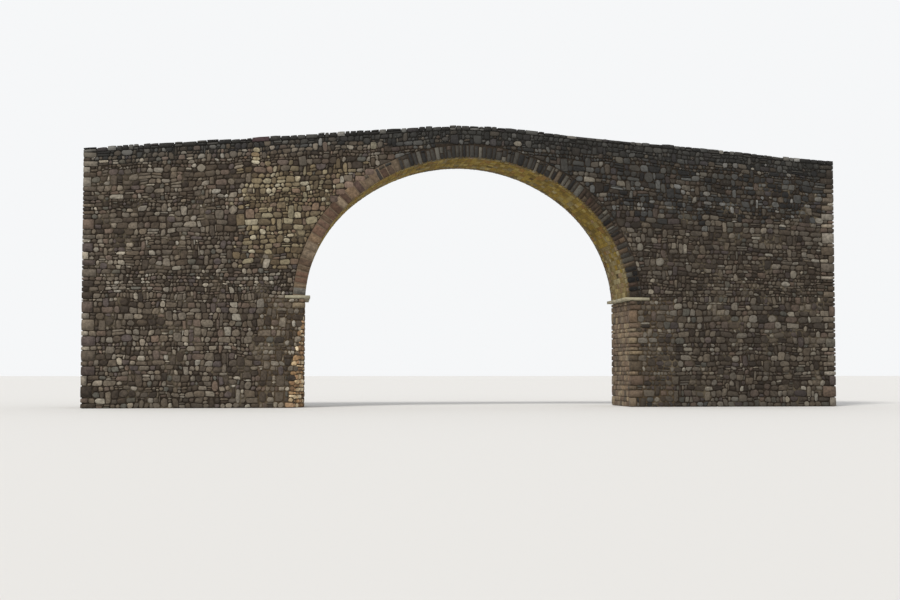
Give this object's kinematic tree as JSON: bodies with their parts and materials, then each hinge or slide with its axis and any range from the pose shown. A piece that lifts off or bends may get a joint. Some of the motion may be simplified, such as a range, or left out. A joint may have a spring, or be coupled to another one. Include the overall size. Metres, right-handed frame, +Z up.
{
  "type": "stone arch bridge",
  "caption": "Narrow humped rubble-stone footbridge with one tall rounded arch, pale springing courses, low parapets and a worn corner on one abutment.",
  "frame": {"origin": "on the ground, under the middle of the arch and of the width", "axes": "+X along the road towards the right-hand end as the front shows it, -Y out of the front face, +Z up"},
  "size_m": [26, 2.9, 9.7002],
  "materials": {
    "wall_rubble": "rough",
    "parapet_rubble": "rough",
    "ring_stone": "rough",
    "vault_stone": "rough",
    "impost_stone": "rough",
    "road_cobbles": "rough",
    "core_fill": "rough"
  },
  "bodies": {
    "root": {"left_abutment": "wall_rubble", "right_abutment": "wall_rubble", "left_impost": "impost_stone", "right_impost": "impost_stone", "front_left_haunch_ring": "ring_stone", "front_crown_ring": "ring_stone", "front_right_haunch_ring": "ring_stone", "rear_left_haunch_ring": "ring_stone", "rear_crown_ring": "ring_stone", "rear_right_haunch_ring": "ring_stone", "left_haunch_vault": "vault_stone", "crown_vault": "vault_stone", "right_haunch_vault": "vault_stone", "front_left_spandrel": "wall_rubble", "front_right_spandrel": "wall_rubble", "rear_left_spandrel": "wall_rubble", "rear_right_spandrel": "wall_rubble", "front_left_wing_wall": "wall_rubble", "front_right_wing_wall": "wall_rubble", "rear_left_wing_wall": "wall_rubble", "rear_right_wing_wall": "wall_rubble", "left_end_wall": "wall_rubble", "right_end_wall": "wall_rubble", "left_fill": "core_fill", "right_fill": "core_fill", "left_ramp_paving": "road_cobbles", "crown_paving": "road_cobbles", "right_ramp_paving": "road_cobbles", "front_left_parapet": "parapet_rubble", "front_right_parapet": "parapet_rubble", "rear_left_parapet": "parapet_rubble", "rear_right_parapet": "parapet_rubble", "front_left_top_course": "parapet_rubble", "front_right_top_course": "parapet_rubble", "rear_left_top_course": "parapet_rubble", "rear_right_top_course": "parapet_rubble"}
  },
  "joints": []
}
